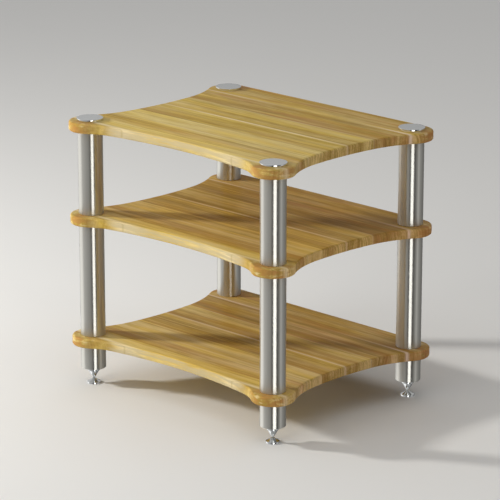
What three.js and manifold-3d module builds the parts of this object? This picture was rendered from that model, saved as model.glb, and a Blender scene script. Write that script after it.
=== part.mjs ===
// Three-shelf audio equipment rack: glued hardwood boards clamped between steel tube pillars
// by hidden studs, standing on screw-adjustable spikes in loose floor pads.
// Lengths in millimetres, +Z up, origin on the floor under the middle of the rack.
// The straight rear edge of the boards faces +Y, the wall side.

import * as THREE from "three";
import { mergeVertices } from "three/addons/utils/BufferGeometryUtils.js";
import Module from "manifold-3d";

const wasm = await Module();
wasm.setup();

// Shelf boards: three alike, with round lobes over the pillars and drawn-in front and ends
const boardWidth = 600;
const boardDepth = 480;
const boardThickness = 20;
const lobeRadius = 43;
const edgeRound = 4;
const frontDrawIn = 45;
const frontWaistRadius = 1060;
const frontBlendRadius = 100;
const endDrawIn = 42;
const endWaistRadius = 800;
const endBlendRadius = 220;

// Pillars: one tube per bay and corner
const tubeDiameter = 51;
const tubeWall = 1.5;
const tubeBevel = 0.8;
const upperTubeLength = 174;
const middleTubeLength = 237;
const lowerTubeLength = 51;

// Threaded plugs fixed in both ends of every tube
const plugThickness = 12;
const plugRecess = 0.4;
const plugFit = 0.3;

// Threads are plain here: shanks at their outer size, bores larger by the thread fit
const threadDiameter = 10;
const threadFit = 0.3;
const shankChamfer = 1;
const boardHoleFit = 0.5;
const studReach = 11;

// Polished caps on the top board
const capDiameter = 54;
const capHeight = 5.5;
const capEdgeHeight = 0.8;
const capEdgeWidth = 1;

// Spikes: threaded shank, turned collar and cone
const footHeight = 34.5;
const collarGap = 3;
const collarDiameter = 25;
const collarThickness = 4;
const collarChamfer = 0.7;
const coneDiameter = 23.5;
const tipDiameter = 0.8;
const tipFit = 0.3;
const shankReach = 22;

// Floor pads: turned discs that rise to a dimple for the spike's tip
const padDiameter = 28;
const padHeight = 10;
const padRimHeight = 3.5;
const padChamfer = 0.5;
const padNeckDiameter = 7;
const padFlare = 0.5;
const dimpleDiameter = 4.8;
const dimpleDepth = 2;

// How finely round forms are faceted
const outlineSag = 0.4;
const tubeSides = 28;
const plugSides = 14;
const studSides = 10;
const capSides = 28;
const spikeSides = 18;
const padSides = 24;
const edgeSteps = 2;
const capEdgeSteps = 2;
const flareSteps = 2;

// How far a cutter runs past the faces that it cuts
const cutOverrun = 5;

// Radii and levels that follow from the sizes above
const tubeRadius = tubeDiameter / 2;
const tubeBore = tubeRadius - tubeWall;
const threadRadius = threadDiameter / 2;
const pillarX = boardWidth / 2 - lobeRadius;
const pillarY = boardDepth / 2 - lobeRadius;
const bottomBoardTop = footHeight + lowerTubeLength + boardThickness;
const middleBoardTop = bottomBoardTop + middleTubeLength + boardThickness;
const topBoardTop = middleBoardTop + upperTubeLength + boardThickness;

const wood = new THREE.MeshStandardMaterial({ color: 0xc2a35e, roughness: 0.5, metalness: 0 });
const brushedSteel = new THREE.MeshStandardMaterial({ color: 0xb8b5ae, roughness: 0.32, metalness: 1 });
const plainSteel = new THREE.MeshStandardMaterial({ color: 0x8f9092, roughness: 0.45, metalness: 1 });
const polishedSteel = new THREE.MeshStandardMaterial({ color: 0xd9dcdd, roughness: 0.08, metalness: 1 });

// Corner posts by name: which way each lies from the middle
const corners = [
  { name: "front_left", x: -pillarX, y: -pillarY },
  { name: "front_right", x: pillarX, y: -pillarY },
  { name: "back_right", x: pillarX, y: pillarY },
  { name: "back_left", x: -pillarX, y: pillarY },
];

const rack = new THREE.Group();

function place(name, geometry, material, x, y, z) {
  const mesh = new THREE.Mesh(geometry, material);
  mesh.name = name;
  mesh.position.set(x, y, z);
  rack.add(mesh);
}

// Turned form: profile points [radius, height] go up the outside, so that faces point outwards
function turned(profile, sides) {
  const points = profile.map(([radius, height]) => new THREE.Vector2(radius, height));
  return new THREE.LatheGeometry(points, sides).rotateX(Math.PI / 2);
}

function solidOf(geometry) {
  const bare = geometry.clone();
  bare.deleteAttribute("normal");
  bare.deleteAttribute("uv");
  const merged = mergeVertices(bare);
  const vertProperties = merged.attributes.position.array;
  const triVerts = new Uint32Array(merged.index.array);
  return new wasm.Manifold(new wasm.Mesh({ numProp: 3, vertProperties, triVerts }));
}

function geometryOf(solid) {
  const mesh = solid.getMesh();
  const geometry = new THREE.BufferGeometry();
  geometry.setAttribute("position", new THREE.BufferAttribute(mesh.vertProperties, 3));
  geometry.setIndex(new THREE.BufferAttribute(mesh.triVerts, 1));
  geometry.computeVertexNormals();
  return geometry;
}

// Points along an arc, spaced so that no chord strays further than the outline sag
function arcPoints(centre, radius, from, to) {
  const step = 2 * Math.acos(1 - outlineSag / radius);
  const count = Math.max(1, Math.ceil(Math.abs(to - from) / step));
  return Array.from({ length: count + 1 }, (_, i) => {
    const angle = from + ((to - from) * i) / count;
    const spoke = new THREE.Vector2(Math.cos(angle), Math.sin(angle));
    return spoke.multiplyScalar(radius).add(centre);
  });
}

function bearing(from, to) {
  return Math.atan2(to.y - from.y, to.x - from.x);
}

// One drawn-in side between two lobes, in its own frame: x runs along the line of pillar axes
// from the first lobe's centre, y points out of the board. A wide waist arc meets each lobe
// through a smaller arc that is tangent to both.
function drawnInSide(length, drawIn, waistRadius, blendRadius) {
  const waist = new THREE.Vector2(length / 2, lobeRadius - drawIn + waistRadius);
  const fromLobe = lobeRadius + blendRadius;
  const fromWaist = waistRadius - blendRadius;
  const apart = waist.length();
  const along = (fromLobe ** 2 - fromWaist ** 2 + apart ** 2) / (2 * apart);
  const across = Math.sqrt(Math.max(0, fromLobe ** 2 - along ** 2));
  const towards = waist.clone().divideScalar(apart);
  const aside = new THREE.Vector2(towards.y, -towards.x);
  const blend = towards.clone().multiplyScalar(along).addScaledVector(aside, across);
  const lobe = new THREE.Vector2(0, 0);

  const first = arcPoints(blend, blendRadius, bearing(blend, lobe), bearing(waist, blend));
  const endBearing = -Math.PI - bearing(waist, blend);
  const middle = arcPoints(waist, waistRadius, bearing(waist, blend), endBearing);
  const last = first.map((p) => new THREE.Vector2(length - p.x, p.y)).reverse();
  return [...first, ...middle.slice(1, -1), ...last];
}

// The side's points turned into the board's plan: start is the first lobe's centre, turn its direction
function laidOut(points, start, turn) {
  return points.map((p) => new THREE.Vector2(p.x, -p.y).rotateAround(new THREE.Vector2(), turn).add(start));
}

function boardOutline() {
  const [frontLeft, frontRight, backRight, backLeft] = corners.map((c) => new THREE.Vector2(c.x, c.y));
  const frontSide = drawnInSide(2 * pillarX, frontDrawIn, frontWaistRadius, frontBlendRadius);
  const endSide = drawnInSide(2 * pillarY, endDrawIn, endWaistRadius, endBlendRadius);
  const front = laidOut(frontSide, frontLeft, 0);
  const right = laidOut(endSide, frontRight, Math.PI / 2);
  const left = laidOut(endSide, backLeft, -Math.PI / 2);
  const rear = [backRight, backLeft].map((c) => new THREE.Vector2(c.x, c.y + lobeRadius));

  // Round lobe from the end of one side to the start of the next, turning left all the way
  const lobe = (centre, from, to) => {
    const start = bearing(centre, from);
    const sweep = (bearing(centre, to) - start + 4 * Math.PI) % (2 * Math.PI);
    return arcPoints(centre, lobeRadius, start, start + sweep).slice(1, -1);
  };

  return [
    ...front,
    ...lobe(frontRight, front.at(-1), right[0]),
    ...right,
    ...lobe(backRight, right.at(-1), rear[0]),
    ...rear,
    ...lobe(backLeft, rear[1], left[0]),
    ...left,
    ...lobe(frontLeft, left.at(-1), front[0]),
  ];
}

// Shelf board with its top face at height zero, rounded over all round, bored for the pillar studs
function shelfBoard() {
  const blank = new THREE.ExtrudeGeometry(new THREE.Shape(boardOutline()), {
    depth: boardThickness - 2 * edgeRound,
    bevelThickness: edgeRound,
    bevelSize: edgeRound,
    bevelOffset: -edgeRound,
    bevelSegments: edgeSteps,
  }).translate(0, 0, edgeRound - boardThickness);

  const holeRadius = threadRadius + boardHoleFit;
  const drillLength = boardThickness + 2 * cutOverrun;
  let solid = solidOf(blank);
  for (const corner of corners) {
    const drill = new THREE.CylinderGeometry(holeRadius, holeRadius, drillLength, plugSides)
      .rotateX(Math.PI / 2)
      .translate(corner.x, corner.y, -boardThickness / 2);
    solid = solid.subtract(solidOf(drill));
  }
  return geometryOf(solid);
}

// Pillar tube standing on height zero, with its outer rims broken by a small bevel
function pillarTube(length) {
  const rim = tubeRadius - tubeBevel;
  return turned(
    [
      [tubeBore, 0],
      [rim, 0],
      [tubeRadius, tubeBevel],
      [tubeRadius, length - tubeBevel],
      [rim, length],
      [tubeBore, length],
      [tubeBore, 0],
    ],
    tubeSides,
  );
}

// Plug with a threaded bore through it, standing on height zero
function tubePlug() {
  const bore = threadRadius + threadFit;
  const rim = tubeBore - plugFit;
  return turned(
    [
      [bore, 0],
      [rim, 0],
      [rim, plugThickness],
      [bore, plugThickness],
      [bore, 0],
    ],
    plugSides,
  );
}

// Stud through a board into the plugs above and below, centred on height zero
function boardStud() {
  const half = boardThickness / 2 + plugRecess + studReach;
  const end = threadRadius - shankChamfer;
  return turned(
    [
      [0, -half],
      [end, -half],
      [threadRadius, shankChamfer - half],
      [threadRadius, half - shankChamfer],
      [end, half],
      [0, half],
    ],
    studSides,
  );
}

// Cap with its underside at height zero: a disc with a rounded upper edge and a stud below
function topCap() {
  const stud = boardThickness + plugRecess + studReach;
  const radius = capDiameter / 2;
  const wall = capHeight - capEdgeHeight;
  const edge = Array.from({ length: capEdgeSteps + 1 }, (_, i) => {
    const angle = (Math.PI / 2) * (i / capEdgeSteps);
    return [
      radius - capEdgeWidth * (1 - Math.cos(angle)),
      wall + capEdgeHeight * Math.sin(angle),
    ];
  });
  return turned(
    [
      [0, -stud],
      [threadRadius - shankChamfer, -stud],
      [threadRadius, shankChamfer - stud],
      [threadRadius, 0],
      [radius, 0],
      ...edge,
      [0, capHeight],
    ],
    capSides,
  );
}

// Spike with height zero at the floor, at rest: tip in the pad's dimple, shank up in the plug
const tipHeight = padHeight - dimpleDepth + tipFit;
const collarTop = footHeight - collarGap;
const coneTop = collarTop - collarThickness;

function spike() {
  const collarRadius = collarDiameter / 2;
  const collarEdge = collarRadius - collarChamfer;
  const shankTop = footHeight + shankReach;
  return turned(
    [
      [0, tipHeight],
      [tipDiameter / 2, tipHeight],
      [coneDiameter / 2, coneTop],
      [collarEdge, coneTop],
      [collarRadius, coneTop + collarChamfer],
      [collarRadius, collarTop - collarChamfer],
      [collarEdge, collarTop],
      [threadRadius, collarTop],
      [threadRadius, shankTop - shankChamfer],
      [threadRadius - shankChamfer, shankTop],
      [0, shankTop],
    ],
    spikeSides,
  );
}

// Pad on height zero: rim, hollow flare up to the neck, and the dimple in its top
function floorPad() {
  const radius = padDiameter / 2;
  const neck = padNeckDiameter / 2;
  const flare = Array.from({ length: flareSteps + 1 }, (_, i) => {
    const share = i / flareSteps;
    const height = padRimHeight + (padHeight - padRimHeight) * share;
    return [
      radius + (neck - radius) * share - padFlare * Math.sin(Math.PI * share),
      height - padFlare * Math.sin(Math.PI * share),
    ];
  });
  return turned(
    [
      [0, 0],
      [radius - padChamfer, 0],
      [radius, padChamfer],
      ...flare,
      [dimpleDiameter / 2, padHeight],
      [0, padHeight - dimpleDepth],
    ],
    padSides,
  );
}

place("board_bottom", shelfBoard(), wood, 0, 0, bottomBoardTop);
place("board_middle", shelfBoard(), wood, 0, 0, middleBoardTop);
place("board_top", shelfBoard(), wood, 0, 0, topBoardTop);

const bays = [
  { name: "lower", foot: footHeight, length: lowerTubeLength },
  { name: "middle", foot: bottomBoardTop, length: middleTubeLength },
  { name: "upper", foot: middleBoardTop, length: upperTubeLength },
];

for (const { name: corner, x, y } of corners) {
  for (const { name: bay, foot, length } of bays) {
    const upperPlug = foot + length - plugRecess - plugThickness;
    place(`tube_${bay}_${corner}`, pillarTube(length), brushedSteel, x, y, foot);
    place(`plug_${bay}_bottom_${corner}`, tubePlug(), plainSteel, x, y, foot + plugRecess);
    place(`plug_${bay}_top_${corner}`, tubePlug(), plainSteel, x, y, upperPlug);
  }
  place(`stud_bottom_board_${corner}`, boardStud(), plainSteel, x, y, bottomBoardTop - boardThickness / 2);
  place(`stud_middle_board_${corner}`, boardStud(), plainSteel, x, y, middleBoardTop - boardThickness / 2);
  place(`top_cap_${corner}`, topCap(), polishedSteel, x, y, topBoardTop);
  place(`spike_${corner}`, spike(), polishedSteel, x, y, 0);
  place(`floor_pad_${corner}`, floorPad(), polishedSteel, x, y, 0);
}

export default rack;
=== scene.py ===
"""Finish of a three-shelf audio equipment rack: lacquered glued boards, brushed steel pillars
and polished caps, spikes and pads, on a plain pale floor in soft studio light."""

import math
from typing import NamedTuple

import bpy
import numpy as np
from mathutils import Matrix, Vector
from mathutils.geometry import tessellate_polygon

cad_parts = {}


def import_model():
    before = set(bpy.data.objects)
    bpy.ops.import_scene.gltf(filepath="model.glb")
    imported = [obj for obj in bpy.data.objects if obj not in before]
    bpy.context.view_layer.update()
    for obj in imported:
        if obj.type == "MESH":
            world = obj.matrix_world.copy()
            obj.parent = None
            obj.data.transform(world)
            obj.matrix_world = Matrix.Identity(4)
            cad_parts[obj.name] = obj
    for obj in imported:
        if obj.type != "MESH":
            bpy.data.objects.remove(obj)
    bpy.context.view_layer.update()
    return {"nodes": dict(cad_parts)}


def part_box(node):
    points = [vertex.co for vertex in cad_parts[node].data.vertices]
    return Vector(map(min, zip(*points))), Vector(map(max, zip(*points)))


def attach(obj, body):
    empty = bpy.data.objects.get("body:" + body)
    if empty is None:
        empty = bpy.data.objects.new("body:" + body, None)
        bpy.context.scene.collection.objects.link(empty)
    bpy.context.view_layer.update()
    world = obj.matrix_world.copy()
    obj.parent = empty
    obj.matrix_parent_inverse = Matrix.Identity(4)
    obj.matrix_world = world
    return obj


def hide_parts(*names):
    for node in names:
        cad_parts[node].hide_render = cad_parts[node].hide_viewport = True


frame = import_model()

MM = 0.001

# The photograph's camera, in metres and degrees, and its frame in pixels
FRAME_PX = 500
FOCAL_PX = 2854.8
CENTRE_PX = (249.6, 247.4)
SENSOR_MM = 36
CLIP_END = 100
CAMERA_AT = (3.8928, -3.9474, 1.9006)
CAMERA_YAW = math.radians(44.604)
CAMERA_PITCH = math.radians(-16.093)

# Board outline and edges
BOARD_DEPTH = 480 * MM
LOBE_RADIUS = 43 * MM
FRONT_DRAW_IN = 45 * MM
FRONT_WAIST_RADIUS = 1060 * MM
FRONT_BLEND_RADIUS = 100 * MM
END_DRAW_IN = 42 * MM
END_WAIST_RADIUS = 800 * MM
END_BLEND_RADIUS = 220 * MM
EDGE_ROUND = 4 * MM
FLAT_MARGIN = 1 * MM
STUD_HOLE_RADIUS = 5.5 * MM
OUTLINE_STEP = 2.5 * MM
EDGE_STEPS = 8
HOLE_SIDES = 32

# Pillar tubes and their plugs
TUBE_WALL = 1.5 * MM
TUBE_BEVEL = 0.8 * MM
TUBE_EDGE_EASE = 0.35 * MM
TUBE_EDGE_STEPS = 3
PLUG_LEAD = 1 * MM
PLUG_EDGE = 0.6 * MM

# Threads and shanks
THREAD_RADIUS = 5 * MM
THREAD_FIT = 0.3 * MM
THREAD_PITCH = 1.5 * MM
THREAD_DEPTH = 0.85 * MM
THREAD_ROWS_PER_TURN = 12
SHANK_CHAMFER = 1 * MM

# Caps
CAP_HEIGHT = 5.5 * MM
CAP_EDGE_WIDTH = 1 * MM
CAP_EDGE_HEIGHT = 0.8 * MM
CAP_EDGE_POINTS = 12
CAP_SEAT_CHAMFER = 0.3 * MM
CAP_FLAT_MARGIN = 0.5 * MM

# Spikes
COLLAR_RADIUS = 12.5 * MM
COLLAR_THICKNESS = 4 * MM
COLLAR_CHAMFER = 0.7 * MM
COLLAR_EASE = 0.3 * MM
COLLAR_STEP = 0.2 * MM
COLLAR_GAP = 3 * MM
CONE_RADIUS = 11.75 * MM
TIP_RADIUS = 0.4 * MM

# Floor pads
PAD_RIM_HEIGHT = 3.5 * MM
PAD_CHAMFER = 0.5 * MM
PAD_RIM_EASE = 0.6 * MM
PAD_NECK_RADIUS = 3.5 * MM
PAD_NECK_EASE = 0.4 * MM
PAD_FLARE = 0.5 * MM
PAD_FLARE_POINTS = 14
DIMPLE_RADIUS = 2.4 * MM
DIMPLE_DEPTH = 2 * MM
DIMPLE_EASE = 0.3 * MM

# Round forms
TURNED_SIDES = 128
SPIKE_SIDES = 72
EASE_STEPS = 4
SMOOTH_ANGLE = math.radians(35)

CORNERS = ("front_left", "front_right", "back_right", "back_left")
BAYS = ("lower", "middle", "upper")


def low(node):
    """Lowest x, y and z of a piece's box."""
    return np.array(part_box(node)[0])


def high(node):
    """Highest x, y and z of a piece's box."""
    return np.array(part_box(node)[1])


def axis_of(node):
    """Plan position of an upright piece's axis: the middle of its box."""
    return (low(node)[:2] + high(node)[:2]) / 2


def radius_of(node):
    """Outer radius of an upright round piece: half the width of its box."""
    return (high(node)[0] - low(node)[0]) / 2


def piece(name, points, faces, material, body, stands_for):
    """Mesh object in the rack's own frame, smooth but for its real edges, riding on a body."""
    mesh = bpy.data.meshes.new(name)
    mesh.from_pydata(points.reshape(-1, 3).tolist(), [], faces)
    mesh.validate()
    mesh.polygons.foreach_set("use_smooth", np.ones(len(mesh.polygons), bool))
    mesh.set_sharp_from_angle(angle=SMOOTH_ANGLE)
    mesh.materials.append(material)
    thing = bpy.data.objects.new(name, mesh)
    bpy.context.scene.collection.objects.link(thing)
    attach(thing, body)
    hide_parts(stands_for)
    return thing


def grid_faces(rows, columns, close_rows=False, first=0):
    """Quads between neighbouring rows of a grid of points, whose columns go round and close."""
    down = np.arange(rows if close_rows else rows - 1)[:, None]
    across = np.arange(columns)[None, :]
    below, beside = (down + 1) % rows, (across + 1) % columns
    quads = np.stack(np.broadcast_arrays(
        down * columns + across,
        down * columns + beside,
        below * columns + beside,
        below * columns + across,
    ), axis=-1)
    return (quads.reshape(-1, 4) + first).tolist()


def circle(radius, sides):
    """Points on a circle about 0: the radius times the cosine and sine of evenly spaced angles."""
    angle = np.linspace(0, 2 * math.pi, sides, endpoint=False)
    return radius * np.stack([np.cos(angle), np.sin(angle)], axis=-1)


def arc(centre, radius, start, end, steps):
    """Points on a circle: the centre plus the radius at evenly spaced angles."""
    angle = np.linspace(start, end, steps + 1)
    return np.array(centre) + radius * np.stack([np.cos(angle), np.sin(angle)], axis=1)


def rings_about_axis(radii, levels, node, poles=None):
    """Points and faces of rings round a piece's axis, one ring for each row of radii and level.

    The rings close on themselves like a tube's wall, or end in two poles at the given heights."""
    x, y = axis_of(node)
    count, sides = radii.shape
    around = circle(1, sides)
    points = np.stack(np.broadcast_arrays(
        x + radii * around[:, 0],
        y + radii * around[:, 1],
        levels[:, None],
    ), axis=-1).reshape(-1, 3)
    faces = grid_faces(count, sides, close_rows=poles is None)
    if poles is not None:
        ring = np.arange(sides)
        after = (ring + 1) % sides
        last = (count - 1) * sides
        low_pole, high_pole = (np.full(sides, len(points) + i) for i in range(2))
        faces += np.stack([after, ring, low_pole], axis=1).tolist()
        faces += np.stack([last + ring, last + after, high_pole], axis=1).tolist()
        points = np.concatenate([points, [[x, y, height] for height in poles]])
    return points, faces


def turned(profile, node, material, body, closed=False):
    """Surface of revolution: each profile point (radius, height) swept round the piece's axis.

    A profile that starts and ends on the axis gets one point at each pole."""
    profile = np.asarray(profile, float)
    rings = profile if closed else profile[1:-1]
    poles = None if closed else (profile[0, 1], profile[-1, 1])
    radii = np.broadcast_to(rings[:, :1], (len(rings), TURNED_SIDES))
    points, faces = rings_about_axis(radii, rings[:, 1], node, poles)
    return piece(node + "_fine", points, faces, material, body, node)


def eased(points, radius, steps=EASE_STEPS):
    """Profile with its corners rounded by a parabola between their two tangent points.

    A point's third value, where it has one, is its own radius."""
    made = [np.array(points[0][:2])]
    for before, here, after in zip(points, points[1:], points[2:]):
        corner = np.array(here[:2])
        ease = here[2] if len(here) > 2 else radius
        if ease == 0:
            made.append(corner)
            continue
        into = np.array(before[:2]) - corner
        out = np.array(after[:2]) - corner
        reach = min(ease, np.linalg.norm(into) / 2, np.linalg.norm(out) / 2)
        start = corner + into / np.linalg.norm(into) * reach
        end = corner + out / np.linalg.norm(out) * reach
        share = np.linspace(0, 1, steps + 1)[:, None]
        made.extend((1 - share) ** 2 * start + 2 * share * (1 - share) * corner + share ** 2 * end)
    made.append(np.array(points[-1][:2]))
    return np.array(made)


# Shader expressions


class Value:
    """A shader socket used in Python expressions: each operator adds one Math node."""

    def __init__(self, paint, socket):
        self.paint = paint
        self.socket = socket

    def math(self, operation, *others):
        return self.paint.node("ShaderNodeMath", {"operation": operation}, [self, *others])

    def __add__(self, other):
        return self.math("ADD", other)

    def __mul__(self, other):
        return self.math("MULTIPLY", other)

    def __sub__(self, other):
        return self.math("SUBTRACT", other)

    def __truediv__(self, other):
        return self.math("DIVIDE", other)

    def __pow__(self, other):
        return self.math("POWER", other)

    def __rsub__(self, other):
        return self.paint.node("ShaderNodeMath", {"operation": "SUBTRACT"}, [other, self])

    def clamped(self):
        return self.paint.node("ShaderNodeClamp", {}, [self])

    def stretched(self, low_end, high_end):
        """Smooth rise from 0 at low_end to 1 at high_end."""
        settings = {"interpolation_type": "SMOOTHSTEP"}
        return self.paint.node("ShaderNodeMapRange", settings, [self, low_end, high_end])

    def hump(self, centre, width):
        """1 at the centre, falling away on both sides as a bell of the given width."""
        off = (self - centre) / width
        return (off * off * -1).math("EXPONENT")

    def swing(self, amount):
        """A noise about its middle value, one half, times an amount."""
        return (self - 0.5) * amount

    __radd__ = __add__
    __rmul__ = __mul__


class Pattern(NamedTuple):
    """A noise: how often it changes per metre in three directions, its detail and its roughness."""

    scale: tuple
    detail: float
    roughness: float = 0.5


class Paint:
    """One material or world and its node tree."""

    def __init__(self, owner):
        owner.use_nodes = True
        self.owner = owner
        self.tree = owner.node_tree
        self.tree.nodes.clear()

    def node(self, kind, settings=None, sockets=(), output=0):
        """Adds a node: its settings first, then values or links by place or by socket name."""
        made = self.tree.nodes.new(kind)
        for key, value in (settings or {}).items():
            if key == "stops":
                self.set_stops(made.color_ramp, value)
            else:
                setattr(made, key, value)
        named = sockets.items() if isinstance(sockets, dict) else enumerate(sockets)
        for key, value in named:
            self.feed(made.inputs[key], value)
        return Value(self, made.outputs[output]) if made.outputs else None

    def feed(self, socket, value):
        if isinstance(value, Value):
            self.tree.links.new(value.socket, socket)
        else:
            socket.default_value = value

    @staticmethod
    def set_stops(ramp, stops):
        while len(ramp.elements) < len(stops):
            ramp.elements.new(1.0)
        for element, (place, colour) in zip(ramp.elements, stops):
            element.position = place
            element.color = (*colour, 1)

    def ramp(self, factor, stops, steps="LINEAR"):
        made = self.node("ShaderNodeValToRGB", {"stops": stops}, [factor])
        made.socket.node.color_ramp.interpolation = steps
        return made

    def mix(self, factor, first, second, blend="MIX"):
        """Blend of two colours.

        A Mix node's colour sockets share their names with its others, so they go by number."""
        first, second = ((*c, 1) if isinstance(c, tuple) else c for c in (first, second))
        settings = {"data_type": "RGBA", "blend_type": blend}
        sockets = {0: factor, 6: first, 7: second}
        return self.node("ShaderNodeMix", settings, sockets, output=2)

    def tinted(self, share, colour, tint):
        """A share of the colour multiplied by a tint."""
        return self.mix(share, colour, self.mix(1.0, colour, tint, "MULTIPLY"))

    def noise(self, pattern, place, shift=0):
        """The pattern's noise over a place in metres, shifted in its third direction."""
        first, second, third = (at * times for at, times in zip(place, pattern.scale))
        vector = self.node("ShaderNodeCombineXYZ", {}, [first, second, third + shift])
        sockets = {
            "Vector": vector, "Scale": 1.0, "Detail": pattern.detail, "Roughness": pattern.roughness,
        }
        return self.node("ShaderNodeTexNoise", {}, sockets)

    def parts(self, vector):
        split = self.node("ShaderNodeSeparateXYZ", {}, [vector]).socket.node
        return [Value(self, out) for out in split.outputs]

    def place(self, output="Object"):
        """Coordinates split into x, y and z: the rack's own, unless another output is named."""
        return self.parts(self.node("ShaderNodeTexCoord", output=output))

    def bump(self, strength, distance, height):
        sockets = {"Strength": strength, "Distance": distance, "Height": height}
        return self.node("ShaderNodeBump", {}, sockets)

    def surface(self, **sockets):
        """Ends the material with one Principled shader."""
        names = {key.replace("_", " "): value for key, value in sockets.items()}
        shader = self.node("ShaderNodeBsdfPrincipled", {}, names)
        self.node("ShaderNodeOutputMaterial", {}, [shader])
        return self.owner

    def glow(self, colour, strength):
        """Ends the material with light of a colour and strength."""
        light = self.node("ShaderNodeEmission", {}, {"Color": colour, "Strength": strength})
        self.node("ShaderNodeOutputMaterial", {}, [light])
        return self.owner


def new_paint(name):
    return Paint(bpy.data.materials.new(name))


# Wood: glued strips that run along x, nearly quarter-sawn, each with rings about its own pith

# Strips from the front: where each starts (y in mm), how light and how warm it is
STRIP_STARTS = (-240, -206, -168, -127, -98, -62, -28, 9, 45, 80, 122, 161, 197)
STRIP_TONES = (0.45, 0.84, 0.50, 0.81, 0.78, 0.37, 0.56, 0.37, 0.65, 0.34, 0.42, 0.51, 0.38)
STRIP_WARMTHS = (0.10, 0.05, 0.35, 0.10, 0.05, 0.20, 0.10, 0.20, 0.05, 0.45, 0.50, 0.40, 0.45)

# Each strip's pith: how far it lies to one side of the strip's middle, in metres, and how far
# below the board's middle. The shift is added to its y, because a ramp holds nothing below 0.
PITH_OFFSET = (0.06, 0.15)
PITH_DROP = 12 * MM
PITH_SHIFT = 0.5

# Pale streaks: y in mm, half width in mm, strength, and the middle and half length along x in m
STREAKS = (
    (-205, 5.0, 0.95, 0.0, 0.6), (-112, 2.6, 0.35, 0.1, 0.4), (8, 2.6, 1.20, 0.03, 0.30),
    (80, 2.2, 0.30, 0.0, 0.6), (161, 2.8, 0.90, -0.24, 0.14), (161, 3.0, 1.10, 0.28, 0.09),
)

# Share of a streak's strength that follows the grain's noise, and the share that is always there
STREAK_FLOW = 1.2
STREAK_LEAST = 0.4

# Wood colours, and the tone at which each of the first five stands
OLIVE = (0.32, 0.215, 0.044)
AMBER = (0.45, 0.310, 0.070)
HONEY = (0.55, 0.400, 0.115)
STRAW = (0.69, 0.525, 0.180)
CREAM = (0.76, 0.600, 0.24)
WOOD_TONES = ((0.0, OLIVE), (0.30, AMBER), (0.52, HONEY), (0.80, STRAW), (1.0, CREAM))
SAPWOOD = (0.80, 0.670, 0.37)
RUST = (0.46, 0.240, 0.065)
# Pale colour of the front faces between the lobes: partly sapwood, partly a painted sheen of the front
# light
FRONT_SAPWOOD_AND_SHEEN = (0.515, 0.43, 0.25)

# Tints that the wood's colour is multiplied by
GILDING = (1.03, 0.965, 0.57)
WARMING = (1.0, 0.95, 1.22)
CUT_DARK = (0.78, 0.68, 0.64)
CUT_PALE = (1.20, 1.13, 1.25)

# Boards: level, and its tint over the wood's colour behind the front strip: a painted shade, warmest on
# the middle board and slight on the top one
BOARDS = (("bottom", (0.95, 0.93, 1.02)), ("middle", (0.97, 0.91, 0.88)), ("top", (0.99, 1.0, 1.02)))
PAINTED_SHADE_FROM = (-205 * MM, -150 * MM)

# Seed of the bottom board's grain: each board above takes the next
FIRST_SEED = 11

# Waver of the grain along the strips, in metres from side to side
MEANDER = Pattern((1.4, 5, 0), 1)
MEANDER_WIDTH = 10 * MM
RIPPLE = Pattern((7, 24, 20), 1)
RIPPLE_WIDTH = 3 * MM

# Growth rings by distance from the pith, place along the strip, and strip
BANDS = Pattern((55, 1.2, 90), 3, 0.55)
LINES = Pattern((330, 3, 50), 3, 0.6)

# Figure along, across and up through the strips
FLAMES = Pattern((3.2, 55, 40), 3, 0.65)
FIBRE = Pattern((14, 900, 900), 2)
FLECKS = Pattern((30, 260, 260), 2)
PORES = Pattern((300, 900, 900), 2)
RUSTY = Pattern((5, 45, 30), 2)
GILT = Pattern((5, 38, 30), 2)
KNOTS = Pattern((34, 34, 110), 3, 0.65)
DRIFT = Pattern((11, 20, 150), 3, 0.6)
FLOW = Pattern((6, 1, 0), 2)

# How much each pattern moves the wood's tone
BANDS_TONE = 1.25
LINES_TONE = 0.8
FLAMES_TONE = 1.05
FIBRE_TONE = 0.35
FLECKS_TONE = 0.5

# Noise levels between which a pattern's patches fade in, or the pale knots out, and their strength
RUSTY_FROM = (0.42, 0.75)
RUSTY_LEAST = 0.15
GILT_FROM = (0.40, 0.64)
GILT_STRENGTH = 0.85
GILT_LOST_ON_LOBES = 0.6
GILT_SEED_TIMES = 3
RUST_KNOTS_FROM = (0.42, 0.56)
RUST_KNOTS_STRENGTH = 0.85
PALE_KNOTS_FROM = (0.32, 0.44)
PALE_KNOTS_STRENGTH = 0.6
DRIFT_FROM = (0.32, 0.58)
FRONT_SHEEN_STRENGTH = 0.85
WARMING_STRENGTH = 1.6

# Where the lobes start and are full, and the edge between them ends, in squares of metres from the middle
LOBE_ALONG = (0.042, 0.062)
LOBE_ACROSS = (0.026, 0.040)
BETWEEN_LOBES = (0.029, 0.044)
# Range of the normal's y, turned round, over which faces looking to the front take the painted sheen
SHEEN_FACING_FRONT = (0.55, 0.95)

# End grain: how squarely the surface cuts across the strips, and what each pattern gives it
CUT_FROM = (0.15, 0.8)
CUT_STRENGTH = 0.9
CUT_LINES = 2.2
CUT_BANDS = 0.5
CUT_PORES = 1.0
CUT_MIDDLE = 0.6

# Glue seams, relief and gloss
SEAM_WIDTH = 0.35 * MM
SEAM_STRENGTH = 0.3
FIBRE_RELIEF = 0.5
LINES_RELIEF = 0.5
PORES_RELIEF = 0.8
SEAM_RELIEF = 1.5
WOOD_BUMP = (0.25, 0.08 * MM)
WOOD_ROUGHNESS = 0.38
FIBRE_ROUGHNESS = 0.12
LINES_ROUGHNESS = 0.1
LACQUER = {"Specular_IOR_Level": 0.015, "Coat_Weight": 0.07, "Coat_Roughness": 0.2}


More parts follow.
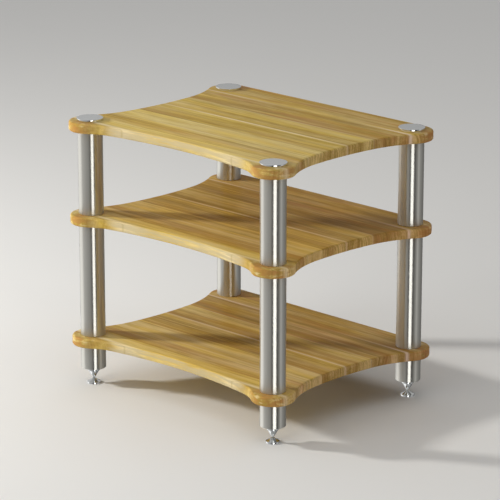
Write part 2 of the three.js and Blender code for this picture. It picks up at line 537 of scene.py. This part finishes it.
def strip_stops(seed):
    """Steps across the board that hold each strip's tone, its warmth and its pith's shifted y."""
    random = np.random.default_rng(seed)
    edges = np.array([*STRIP_STARTS, BOARD_DEPTH / 2 / MM]) * MM
    stops = []
    for tone, warmth, start, end in zip(STRIP_TONES, STRIP_WARMTHS, edges, edges[1:]):
        pith = (start + end) / 2 + random.choice((-1, 1)) * random.uniform(*PITH_OFFSET)
        values = (tone, warmth, float(pith) + PITH_SHIFT)
        stops.append((float(start) / BOARD_DEPTH + 0.5, values))
    return stops


def knotted(paint, colour, lobe, place, seed):
    """Rusty and pale knots, on the lobes only."""
    knots = paint.noise(KNOTS, place, seed)
    rusty = lobe * knots.stretched(*RUST_KNOTS_FROM)
    colour = paint.mix(rusty * RUST_KNOTS_STRENGTH, colour, RUST)
    pale = lobe * (1 - knots.stretched(*PALE_KNOTS_FROM))
    return paint.mix(pale * PALE_KNOTS_STRENGTH, colour, SAPWOOD)


def streaked(paint, colour, x, y, seed):
    """Pale streaks: each a bell across the strips times a bell along them, broken by the grain."""
    for line, width, strength, middle, length in STREAKS:
        flow = paint.noise(FLOW, (x, line, 0), seed)
        pale = y.hump(line * MM, width * MM) * x.hump(middle, length)
        pale = pale * (flow * STREAK_FLOW + STREAK_LEAST) * strength
        colour = paint.mix(pale.clamped(), colour, SAPWOOD)
    return colour


def front_sheened(paint, colour, front, place, seed):
    """Pale sapwood and a painted sheen on the faces turned to the front, drifting along the long front
    edge between the lobes.
    """
    x = place[0]
    between_lobes = 1 - (x * x).stretched(*BETWEEN_LOBES)
    drift = paint.noise(DRIFT, place, seed).stretched(*DRIFT_FROM)
    sheen_and_sapwood = (front * -1).stretched(*SHEEN_FACING_FRONT) * between_lobes * drift
    return paint.mix(sheen_and_sapwood * FRONT_SHEEN_STRENGTH, colour, FRONT_SAPWOOD_AND_SHEEN)


def wood(name, middle_height, seed, painted_shade_tint):
    """Lacquered glued wood. Colour follows the distance to each strip's own pith."""
    paint = new_paint(name)
    x, y, z = paint.place()
    z = z - middle_height
    meander = paint.noise(MEANDER, (x, y, 0), seed)
    ripple = paint.noise(RIPPLE, (x, y, z), seed)
    across = y + meander.swing(MEANDER_WIDTH) + ripple.swing(RIPPLE_WIDTH)
    inside = (x, across, z)

    steps = paint.ramp(y / BOARD_DEPTH + 0.5, strip_stops(seed), "CONSTANT")
    tone, warm, pith = paint.parts(steps)
    side = across - pith + PITH_SHIFT
    depth = z + PITH_DROP
    ring = (side * side + depth * depth) ** 0.5

    bands = paint.noise(BANDS, (ring, x, pith))
    lines = paint.noise(LINES, (ring, x, pith))
    fibre = paint.noise(FIBRE, inside)
    flecks = paint.noise(FLECKS, inside)
    flames = paint.noise(FLAMES, inside, seed)
    tone = tone + bands.swing(BANDS_TONE) + lines.swing(LINES_TONE) + flames.swing(FLAMES_TONE)
    tone = tone + fibre.swing(FIBRE_TONE) + flecks.swing(FLECKS_TONE)
    colour = paint.ramp(tone, WOOD_TONES)

    facing, front = paint.place("Normal")[:2]
    end = (facing * facing).stretched(*CUT_FROM)
    lobe = (x * x).stretched(*LOBE_ALONG) * (y * y).stretched(*LOBE_ACROSS)
    rusty = paint.noise(RUSTY, inside, seed).stretched(*RUSTY_FROM)
    colour = paint.mix((rusty * (warm + RUSTY_LEAST)).clamped(), colour, RUST)
    gilt = paint.noise(GILT, inside, seed * GILT_SEED_TIMES).stretched(*GILT_FROM)
    gilt = gilt * (1 - lobe * GILT_LOST_ON_LOBES) * (1 - end)
    colour = paint.tinted(gilt * GILT_STRENGTH, colour, GILDING)
    colour = knotted(paint, colour, lobe, (x, y, z), seed)
    colour = streaked(paint, colour, x, y, seed)
    # Front faces paled: partly sapwood, partly a painted sheen of the front light
    colour = front_sheened(paint, colour, front, (x, y, z), seed)

    # End grain is darker, redder and closer
    pores = paint.noise(PORES, (x, y, z))
    rays = lines.swing(CUT_LINES) + bands.swing(CUT_BANDS) + pores.swing(CUT_PORES) + CUT_MIDDLE
    cut = paint.mix(rays.clamped(), CUT_DARK, CUT_PALE)
    colour = paint.tinted(end * CUT_STRENGTH, colour, cut)

    seams = sum(y.hump(line * MM, SEAM_WIDTH) for line in STRIP_STARTS[1:])
    colour = paint.mix((seams * SEAM_STRENGTH).clamped(), colour, OLIVE)
    colour = paint.tinted((warm * WARMING_STRENGTH).clamped(), colour, WARMING)
    # Painted shade: each board's tint over the wood behind its front strip
    colour = paint.tinted(y.stretched(*PAINTED_SHADE_FROM), colour, painted_shade_tint)

    relief = fibre * FIBRE_RELIEF + lines * LINES_RELIEF + pores * end * PORES_RELIEF
    gloss = fibre.swing(FIBRE_ROUGHNESS) + lines.swing(LINES_ROUGHNESS) + WOOD_ROUGHNESS
    bump = paint.bump(*WOOD_BUMP, relief - seams * SEAM_RELIEF)
    return paint.surface(Base_Color=colour, Roughness=gloss, Normal=bump, **LACQUER)


# Metals

# Brushed tube: hairlines round it, and clouds in its gloss
HAIR = Pattern((40, 40, 9000), 2, 0.7)
CLOUD = Pattern((12, 12, 18), 2)
TUBE_DARK = (0.66, 0.645, 0.585)
TUBE_PALE = (0.76, 0.745, 0.68)
HAIR_CONTRAST = 0.5
TUBE_BUMP = (0.12, 0.02 * MM)
TUBE_ROUGHNESS = 0.333
HAIR_ROUGHNESS = 0.06
CLOUD_ROUGHNESS = 0.04
TUBE_BRUSHING = {"Anisotropic": 1.0, "Anisotropic_Rotation": 0.25}

# Turned plugs and studs: rings up the piece
TURNING = Pattern((5, 5, 5000), 1)
TURNED_DARK = (0.42, 0.42, 0.42)
TURNED_PALE = (0.56, 0.56, 0.55)
TURNED_BUMP = (0.2, 0.03 * MM)
TURNED_ROUGHNESS = 0.32
TURNING_ROUGHNESS = 0.15

# Polished caps, spikes and pads: haze and wiping marks
HAZE = Pattern((90, 90, 90), 3)
WISPS = Pattern((25, 700, 400), 2)
POLISH_DARK = (0.765, 0.78, 0.77)
POLISH_PALE = (0.82, 0.83, 0.82)
POLISH_BUMP = (0.04, 0.05 * MM)
POLISH_ROUGHNESS = 0.07
HAZE_ROUGHNESS = 0.05
WISPS_ROUGHNESS = 0.03


def brushed_tube():
    """Stainless tube brushed round its axis: reflections stay sharp sideways and blur up and down."""
    paint = new_paint("brushed_tube")
    place = paint.place()
    hair = paint.noise(HAIR, place)
    cloud = paint.noise(CLOUD, place)
    return paint.surface(
        Base_Color=paint.mix(hair.swing(HAIR_CONTRAST) + 0.5, TUBE_DARK, TUBE_PALE),
        Metallic=1.0,
        Roughness=hair.swing(HAIR_ROUGHNESS) + cloud.swing(CLOUD_ROUGHNESS) + TUBE_ROUGHNESS,
        Normal=paint.bump(*TUBE_BUMP, hair),
        **TUBE_BRUSHING,
    )


def turned_steel():
    """Lathe-turned steel: fine rings of slightly different tone and roughness up the piece."""
    paint = new_paint("turned_steel")
    rings = paint.noise(TURNING, paint.place())
    return paint.surface(
        Base_Color=paint.mix(rings, TURNED_DARK, TURNED_PALE),
        Metallic=1.0,
        Roughness=rings * TURNING_ROUGHNESS + TURNED_ROUGHNESS,
        Normal=paint.bump(*TURNED_BUMP, rings),
    )


def polished_steel():
    """Mirror-polished steel with faint handling marks in its gloss."""
    paint = new_paint("polished_steel")
    place = paint.place()
    haze = paint.noise(HAZE, place)
    wisps = paint.noise(WISPS, place)
    return paint.surface(
        Base_Color=paint.mix(haze, POLISH_DARK, POLISH_PALE),
        Metallic=1.0,
        Roughness=haze.swing(HAZE_ROUGHNESS) + wisps.swing(WISPS_ROUGHNESS) + POLISH_ROUGHNESS,
        Normal=paint.bump(*POLISH_BUMP, haze),
    )


# Shelf boards


def bearing(start, end):
    """Angle from the x axis of the direction from one point to another."""
    return math.atan2(end[1] - start[1], end[0] - start[0])


def fine_arc(centre, radius, start, end):
    """Arc whose points lie no further apart than the outline's step."""
    steps = max(2, math.ceil(abs(end - start) * radius / OUTLINE_STEP))
    return arc(centre, radius, start, end, steps)


def drawn_in_side(length, draw_in, waist_radius, blend_radius):
    """Side between two lobes, x along the pillar axes and y outwards.

    A wide waist arc meets a smaller arc at each end, which is tangent to it and to the lobe.
    The small arc's centre is where circles about the lobe and about the waist's centre cross."""
    waist = np.array([length / 2, LOBE_RADIUS - draw_in + waist_radius])
    apart = np.linalg.norm(waist)
    from_lobe = LOBE_RADIUS + blend_radius
    from_waist = waist_radius - blend_radius
    along = (from_lobe ** 2 - from_waist ** 2 + apart ** 2) / (2 * apart)
    across = math.sqrt(from_lobe ** 2 - along ** 2)
    towards = waist / apart
    blend = towards * along + np.array([towards[1], -towards[0]]) * across
    turn = bearing(waist, blend)
    first = fine_arc(blend, blend_radius, bearing(blend, (0, 0)), turn)
    middle = fine_arc(waist, waist_radius, turn, -math.pi - turn)
    last = (first * [-1, 1] + [length, 0])[::-1]
    return np.concatenate([first, middle[1:-1], last])


def laid_out(points, start, turn):
    """The side turned into plan: outwards becomes the right-hand side of its direction."""
    c, s = math.cos(turn), math.sin(turn)
    flipped = points * [1, -1]
    return flipped @ np.array([[c, s], [-s, c]]) + start


def lobe_arc(centre, start, end):
    """Points round a lobe between the ends of its two neighbouring sides, without those ends."""
    begin = bearing(centre, start)
    sweep = (bearing(centre, end) - begin) % (2 * math.pi)
    return fine_arc(centre, LOBE_RADIUS, begin, begin + sweep)[1:-1]


def board_outline():
    """Closed plan outline of a board, anticlockwise from its front left lobe."""
    front_left, front_right, back_right, back_left = (axis_of("top_cap_" + c) for c in CORNERS)
    front_length, end_length = front_right[0] - front_left[0], back_right[1] - front_right[1]
    front_side = drawn_in_side(front_length, FRONT_DRAW_IN, FRONT_WAIST_RADIUS, FRONT_BLEND_RADIUS)
    end_side = drawn_in_side(end_length, END_DRAW_IN, END_WAIST_RADIUS, END_BLEND_RADIUS)
    front = laid_out(front_side, front_left, 0)
    right = laid_out(end_side, front_right, math.pi / 2)
    left = laid_out(end_side, back_left, -math.pi / 2)
    rear_ends = [back_right + [0, LOBE_RADIUS], back_left + [0, LOBE_RADIUS]]
    steps = math.ceil((back_right[0] - back_left[0]) / OUTLINE_STEP)
    rear = np.linspace(*rear_ends, steps + 1)
    return np.concatenate([
        front, lobe_arc(front_right, front[-1], right[0]),
        right, lobe_arc(back_right, right[-1], rear[0]),
        rear, lobe_arc(back_left, rear[-1], left[0]),
        left, lobe_arc(front_left, left[-1], front[0]),
    ])


def board_rim(node):
    """Rings of points round a board's edge, from its flat underside to its flat top.

    The section is a quarter circle at the top and bottom edges, given as the distance in from
    the outline and the height; each outline point moves in along its own normal. The outline is
    first stretched to the plan size of the solid's own box."""
    outline = board_outline()
    lowest, highest = outline.min(axis=0), outline.max(axis=0)
    size = (high(node) - low(node))[:2]
    outline = low(node)[:2] + (outline - lowest) / (highest - lowest) * size
    tangent = np.roll(outline, -1, axis=0) - np.roll(outline, 1, axis=0)
    tangent /= np.linalg.norm(tangent, axis=1)[:, None]
    outwards = np.stack([tangent[:, 1], -tangent[:, 0]], axis=1)

    angle = np.linspace(0, math.pi / 2, EDGE_STEPS + 1)
    inset = EDGE_ROUND * (1 - np.sin(angle))
    rise = EDGE_ROUND * (1 - np.cos(angle))
    flat = [EDGE_ROUND + FLAT_MARGIN]
    inwards = np.concatenate([flat, inset, inset[::-1], flat])
    bottom, top = low(node)[2], high(node)[2]
    heights = np.concatenate([[bottom], bottom + rise, top - rise[::-1], [top]])
    plan = outline[None] - outwards[None] * inwards[:, None, None]
    levels = np.broadcast_to(heights[:, None, None], (*plan.shape[:2], 1))
    return np.concatenate([plan, levels], axis=2)


def shelf_board(node, material):
    """Board as its edge section carried round the outline, closed by flat faces with stud holes."""
    rim = board_rim(node)
    rows, count = rim.shape[:2]
    holes = [axis_of("top_cap_" + corner) + circle(STUD_HOLE_RADIUS, HOLE_SIDES) for corner in CORNERS]
    levels = (low(node)[2], high(node)[2])
    ends = [np.column_stack([hole, np.full(HOLE_SIDES, level)]) for hole in holes for level in levels]
    points = np.concatenate([rim.reshape(-1, 3), *ends])
    faces = grid_faces(rows, count)

    # The flat faces: one set of triangles, laid on the rim's and holes' upper and lower points
    loops = (rim[0, :, :2], *holes)
    triangles = np.array(tessellate_polygon([[Vector((*p, 0)) for p in loop] for loop in loops]))
    starts = [rows * count + 2 * HOLE_SIDES * i for i in range(len(holes))]
    ring = np.arange(HOLE_SIDES)
    low_index = np.concatenate([np.arange(count), *[start + ring for start in starts]])
    high_index = np.concatenate([
        np.arange(count) + (rows - 1) * count,
        *[start + HOLE_SIDES + ring for start in starts],
    ])
    a, b, c = (np.concatenate(loops)[triangles[:, i]] for i in range(3))
    turn = np.cross(b - a, c - a)
    upwards = np.where((turn > 0)[:, None], triangles, triangles[:, ::-1])
    faces += high_index[upwards].tolist()
    faces += low_index[upwards[:, ::-1]].tolist()
    for start in starts:
        faces += [quad[::-1] for quad in grid_faces(2, HOLE_SIDES, first=start)]
    return piece(node + "_fine", points, faces, material, "rack", node)


# Pillars, caps, spikes and pads


def pillar_tube(node, material):
    """Tube profile: bore, end faces and outer wall, with each outer rim broken by a bevel."""
    outer = radius_of(node)
    bore, rim = outer - TUBE_WALL, outer - TUBE_BEVEL
    bottom, top = low(node)[2], high(node)[2]
    profile = [
        (bore, bottom), (rim, bottom), (outer, bottom + TUBE_BEVEL),
        (outer, top - TUBE_BEVEL), (rim, top), (bore, top),
    ]
    loop = eased([*profile[-1:], *profile, profile[0]], TUBE_EDGE_EASE, TUBE_EDGE_STEPS)[1:-1]
    return turned(loop, node, material, "rack", closed=True)


def tube_plug(node, material):
    """Plug with a chamfered bore, as a closed ring profile."""
    outer = radius_of(node)
    bottom, top = low(node)[2], high(node)[2]
    bore = THREAD_RADIUS + THREAD_FIT
    profile = [
        (bore + PLUG_LEAD, bottom), (outer - PLUG_EDGE, bottom), (outer, bottom + PLUG_EDGE),
        (outer, top), (bore, top), (bore, bottom + PLUG_LEAD),
    ]
    return turned(profile, node, material, "rack", closed=True)


def top_cap(node, material):
    """Cap profile: stud, flat underside, short wall, quarter-ellipse edge and flat top."""
    end, top = low(node)[2], high(node)[2]
    seat = top - CAP_HEIGHT
    radius = radius_of(node)
    angle = np.linspace(0, math.pi / 2, CAP_EDGE_POINTS)
    edge = np.column_stack([
        radius - CAP_EDGE_WIDTH * (1 - np.cos(angle)),
        top - CAP_EDGE_HEIGHT * (1 - np.sin(angle)),
    ])
    profile = [
        (0, end), (THREAD_RADIUS - SHANK_CHAMFER, end), (THREAD_RADIUS, end + SHANK_CHAMFER),
        (THREAD_RADIUS, seat), (radius - CAP_SEAT_CHAMFER, seat), (radius, seat + CAP_SEAT_CHAMFER),
        *edge, (radius - CAP_EDGE_WIDTH - CAP_FLAT_MARGIN, top), (0, top),
    ]
    return turned(profile, node, material, "rack")


def spike(node, material, body):
    """Spike: cone, collar and a shank whose radius follows a right-handed thread.

    The thread is a triangle wave of height minus pitch times turn, faded out at both ends."""
    tip, end = low(node)[2], high(node)[2]
    collar_top = low("tube_lower_" + node.removeprefix("spike_"))[2] - COLLAR_GAP
    cone_top = collar_top - COLLAR_THICKNESS
    cone = eased([
        (0, tip), (TIP_RADIUS, tip, 0), (CONE_RADIUS, cone_top, 0),
        (COLLAR_RADIUS, cone_top, COLLAR_EASE), (COLLAR_RADIUS, collar_top, COLLAR_CHAMFER),
        (THREAD_RADIUS + COLLAR_STEP, collar_top, 0), (THREAD_RADIUS - THREAD_DEPTH, collar_top, 0),
    ], 0)[1:]

    rows = int((end - collar_top) / THREAD_PITCH * THREAD_ROWS_PER_TURN)
    height = np.linspace(collar_top, end, rows)[:, None]
    turns = np.arange(SPIKE_SIDES) / SPIKE_SIDES
    wave = (height / THREAD_PITCH - turns) % 1
    ridge = 1 - np.abs(2 * wave - 1)
    run_in = np.clip((height - collar_top) / THREAD_PITCH, 0, 1)
    run_out = np.clip((end - height) / SHANK_CHAMFER, 0, 1)
    shank = THREAD_RADIUS - THREAD_DEPTH * (1 - ridge * run_in * run_out)

    radii = np.concatenate([np.broadcast_to(cone[:, :1], (len(cone), SPIKE_SIDES)), shank[1:]])
    levels = np.concatenate([cone[:, 1], height[1:, 0]])
    points, faces = rings_about_axis(radii, levels, node, poles=(tip, end))
    return piece(node + "_fine", points, faces, material, body, node)


def floor_pad(node, material, body):
    """Pad profile: flat foot, rounded rim, concave flare and a dimple.

    The flare is a straight line less a half sine wave."""
    bottom, top = low(node)[2], high(node)[2]
    radius = radius_of(node)
    rim_top = bottom + PAD_RIM_HEIGHT
    share = np.linspace(0, 1, PAD_FLARE_POINTS)
    sag = PAD_FLARE * np.sin(math.pi * share)
    flare = np.column_stack([
        radius + (PAD_NECK_RADIUS - radius) * share - sag,
        rim_top + (top - rim_top) * share - sag,
    ])
    outline = eased([
        (0, bottom), (radius, bottom, PAD_CHAMFER), (*flare[0], PAD_RIM_EASE), *flare[2:-1],
        (*flare[-1], PAD_NECK_EASE), (DIMPLE_RADIUS, top, DIMPLE_EASE), (0, top - DIMPLE_DEPTH),
    ], 0)
    return turned(outline, node, material, body)


def dress_rack():
    tube_steel, plug_steel, polish = brushed_tube(), turned_steel(), polished_steel()
    for seed, (level, painted_shade_tint) in enumerate(BOARDS, start=FIRST_SEED):
        node = "board_" + level
        middle = float(low(node)[2] + high(node)[2]) / 2
        shelf_board(node, wood("wood_" + level, middle, seed, painted_shade_tint))
    for corner in CORNERS:
        for bay in BAYS:
            pillar_tube(f"tube_{bay}_{corner}", tube_steel)
        tube_plug("plug_lower_bottom_" + corner, plug_steel)
        top_cap("top_cap_" + corner, polish)
        spike("spike_" + corner, polish, "spike_" + corner)
        floor_pad("floor_pad_" + corner, polish, "pad_" + corner)
    for name, thing in frame["nodes"].items():
        if name.startswith(("plug_", "stud_")):
            for place in thing.material_slots:
                place.material = plug_steel


# Studio

# Floor and background
FLOOR_SIZE = 40
FLOOR_PALE = (0.80, 0.795, 0.78)
FLOOR_DARK = (0.776, 0.77115, 0.7566)
FLOOR_MOTTLE = Pattern((3, 3, 1), 3)
FLOOR_MOTTLE_STRENGTH = 0.3
FLOOR_ROUGHNESS = 0.6
BACKGROUND = (0.93, 0.93, 0.925)
BLACK = (0.0, 0.0, 0.0)
WHITE = (1.0, 1.0, 1.0)

# Strip box: the middle and width of its white band, the widths of the dark flags beside it, its
# height, the grey levels of band and flags, and the band's soft edge as a share of the whole width
STRIP_AT = (2.9, -1.74, -1.07)
STRIP_WIDTH = 1.4
STRIP_FLAGS = (0.95, 1.42)
STRIP_HEIGHT = 4.4
STRIP_LEVEL = 2.3
FLAG_LEVEL = 0.03
STRIP_SOFTNESS = 0.01

# Room that polished and brushed metal shows: compass angle about z in degrees, and grey level
ROOM = (
    (-180, 1.05), (-165, 1.20), (-149, 1.15), (-138, 0.98), (-130, 0.54), (-115, 0.49), (-96, 0.39),
    (-79, 0.31), (-60, 0.22), (14, 0.22), (20, 0.54), (27, 0.58), (35, 0.44), (46, 0.31),
    (73, 0.21), (91, 0.16), (130, 0.14), (150, 0.50), (180, 1.05),
)
UPPER_ROOM = (
    (-180, 0.55), (-75, 0.50), (-35, 0.32), (80, 0.36), (110, 0.45), (140, 0.55), (180, 0.55),
)
UPPER_FROM = (0.1, 0.42)
ROOM_RADIUS = 8
ROOM_ROWS = 16
ROOM_SIDES = 48

# Soft light round the rack: its level overhead and along the horizon
SKY_LEVEL = 0.90
HORIZON_LEVEL = 0.04
OVERHEAD_FROM = (0.60, 0.85)

# Lamps: place and size in metres, watts and colour, all aimed at the rack's middle
LAMP_AIM = (0, 0, 0.3)
WARM_WHITE = (1.0, 0.98, 0.94)
WARMER_WHITE = (1.0, 0.97, 0.93)
LAMPS = {
    "key": ((-2.63, -1.91, 1.48), 0.3, 94, WARM_WHITE),
    "front_fill": ((-0.5, -2.9, 2.2), 1.2, 14, WARM_WHITE),
    "right_fill": ((6.0, 0.8, 1.4), 1.2, 36, WARMER_WHITE),
    "low_front": ((0.56, -6.2, 1.2), 1.4, 63, WARM_WHITE),
}


def camera():
    data = bpy.data.cameras.new("camera")
    data.sensor_width = SENSOR_MM
    data.lens = SENSOR_MM * FOCAL_PX / FRAME_PX
    data.shift_x = (FRAME_PX / 2 - CENTRE_PX[0]) / FRAME_PX
    data.shift_y = (CENTRE_PX[1] - FRAME_PX / 2) / FRAME_PX
    data.clip_end = CLIP_END
    made = bpy.data.objects.new("camera", data)
    made.location = CAMERA_AT
    made.rotation_euler = (math.pi / 2 + CAMERA_PITCH, 0, CAMERA_YAW)
    bpy.context.scene.collection.objects.link(made)
    bpy.context.scene.camera = made


def stage_piece(name, points, faces, material):
    """A mesh of the studio, which is no part of the rack."""
    mesh = bpy.data.meshes.new(name)
    mesh.from_pydata(points.tolist(), [], faces)
    mesh.materials.append(material)
    thing = bpy.data.objects.new(name, mesh)
    bpy.context.scene.collection.objects.link(thing)
    return thing


def flat_panel(name, centre, right, up, width, height, material):
    """Rectangle about a centre, spanned by two directions."""
    right, up = (np.array(v, float) / np.linalg.norm(v) for v in (right, up))
    signs = np.array([(-1, -1), (1, -1), (1, 1), (-1, 1)])
    points = np.array(centre) + signs[:, :1] * right * width / 2 + signs[:, 1:] * up * height / 2
    made = stage_piece(name, points, [(0, 1, 2, 3)], material)
    made.data.uv_layers.new(name="across").data.foreach_set("uv", (signs * 0.5 + 0.5).ravel())
    return made


def seen_only_in_metal(thing):
    thing.visible_camera = False
    thing.visible_diffuse = False
    thing.visible_shadow = False


def floor():
    paint = new_paint("floor")
    mottle = paint.noise(FLOOR_MOTTLE, paint.place())
    colour = paint.mix(mottle * FLOOR_MOTTLE_STRENGTH, FLOOR_PALE, FLOOR_DARK)
    material = paint.surface(Base_Color=colour, Roughness=FLOOR_ROUGHNESS, Specular_IOR_Level=0.0)
    made = flat_panel("floor", (0, 0, 0), (1, 0, 0), (0, 1, 0), FLOOR_SIZE, FLOOR_SIZE, material)
    made.visible_glossy = False


def strip_box():
    """Upright lamp face that only metal shows: a white band between dark flags."""
    paint = new_paint("strip_box")
    across = paint.place("UV")[0]
    left, right = STRIP_FLAGS
    width = left + STRIP_WIDTH + right
    start, end = left / width, (left + STRIP_WIDTH) / width
    inside_start = across.stretched(start - STRIP_SOFTNESS, start + STRIP_SOFTNESS)
    past_end = across.stretched(end - STRIP_SOFTNESS, end + STRIP_SOFTNESS)
    level = inside_start * (1 - past_end) * (STRIP_LEVEL - FLAG_LEVEL) + FLAG_LEVEL
    material = paint.glow((*WHITE, 1), level)
    aside = np.array([-STRIP_AT[1], STRIP_AT[0], 0]) / math.hypot(*STRIP_AT[:2])
    centre = STRIP_AT + aside * (right - left) / 2
    made = flat_panel("strip_box", centre, aside, (0, 0, 1), width, STRIP_HEIGHT, material)
    seen_only_in_metal(made)


def room():
    """Ball of soft cards that only metal shows: upright bands, and a paler upper part.

    A grid of latitude and longitude, with faces turned inwards."""
    paint = new_paint("room")
    x, y, z = paint.place()
    compass = y.math("ARCTAN2", x) / (2 * math.pi) + 0.5
    bands, upper = (
        paint.ramp(compass, [(angle / 360 + 0.5, (level,) * 3) for angle, level in levels])
        for levels in (ROOM, UPPER_ROOM)
    )
    seen = paint.mix((z / ROOM_RADIUS).stretched(*UPPER_FROM), bands, upper)
    material = paint.glow(seen, 1.0)

    rise = np.linspace(-math.pi / 2, math.pi / 2, ROOM_ROWS)[:, None]
    turn = np.linspace(0, 2 * math.pi, ROOM_SIDES, endpoint=False)[None, :]
    points = ROOM_RADIUS * np.stack(np.broadcast_arrays(
        np.cos(rise) * np.cos(turn), np.cos(rise) * np.sin(turn), np.sin(rise),
    ), axis=-1)
    faces = [quad[::-1] for quad in grid_faces(ROOM_ROWS, ROOM_SIDES)]
    seen_only_in_metal(stage_piece("room", points.reshape(-1, 3), faces, material))


def world():
    """Soft light from overhead and from the horizon, and plain pale where the world itself is seen."""
    paint = Paint(bpy.data.worlds.new("studio"))
    bpy.context.scene.world = paint.owner
    z = paint.place("Generated")[2]
    overhead = z.stretched(*OVERHEAD_FROM)
    level = overhead * SKY_LEVEL + (1 - overhead) * HORIZON_LEVEL
    path = paint.node("ShaderNodeLightPath").socket.node
    rays = ("Is Camera Ray", "Is Glossy Ray", "Is Transmission Ray")
    seen = sum(Value(paint, path.outputs[ray]) for ray in rays)
    colour = paint.mix(seen.clamped(), paint.mix(level, BLACK, WHITE), BACKGROUND)
    light = paint.node("ShaderNodeBackground", {}, {"Color": colour, "Strength": 1.0})
    paint.node("ShaderNodeOutputWorld", {}, [light])


def lamp(name, at, size, watts, colour):
    data = bpy.data.lights.new(name, "AREA")
    data.shape = "SQUARE"
    data.size = size
    data.energy = watts
    data.color = colour
    made = bpy.data.objects.new(name, data)
    made.location = at
    made.rotation_euler = (Vector(LAMP_AIM) - Vector(at)).to_track_quat("-Z", "Y").to_euler()
    made.visible_glossy = False
    bpy.context.scene.collection.objects.link(made)


def studio():
    camera()
    floor()
    strip_box()
    room()
    world()
    for name, facts in LAMPS.items():
        lamp(name, *facts)
    bpy.context.scene.view_settings.view_transform = "Standard"


dress_rack()
studio()
